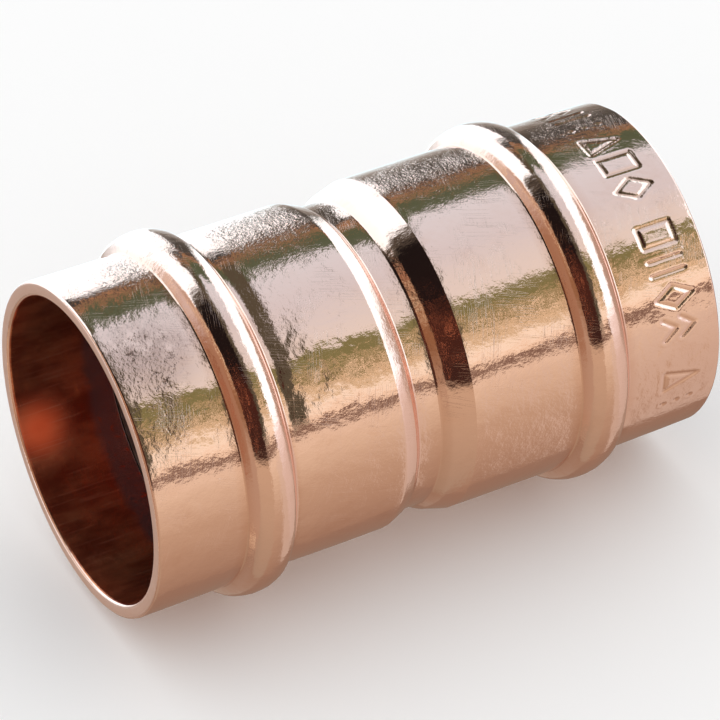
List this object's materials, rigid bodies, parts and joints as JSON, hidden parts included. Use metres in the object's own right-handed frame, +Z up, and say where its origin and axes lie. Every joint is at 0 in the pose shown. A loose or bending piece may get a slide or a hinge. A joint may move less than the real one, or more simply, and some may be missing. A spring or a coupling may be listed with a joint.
{
  "type": "solder ring coupling",
  "caption": "Straight copper coupling with a solder ring in each of its beads and a stop rolled in between its sockets.",
  "frame": {"origin": "middle of the coupling's axis, halfway between its two mouths", "axes": "+X along the axis towards the right mouth, +Z up as the coupling lies on its beads"},
  "size_m": [0.0442, 0.0264, 0.0264],
  "materials": {
    "copper": "bright drawn copper with fine handling marks",
    "solder": "dull grey solder"
  },
  "bodies": {
    "root": {"coupling_body": "copper", "solder_ring_left": "solder", "solder_ring_right": "solder"}
  },
  "joints": []
}
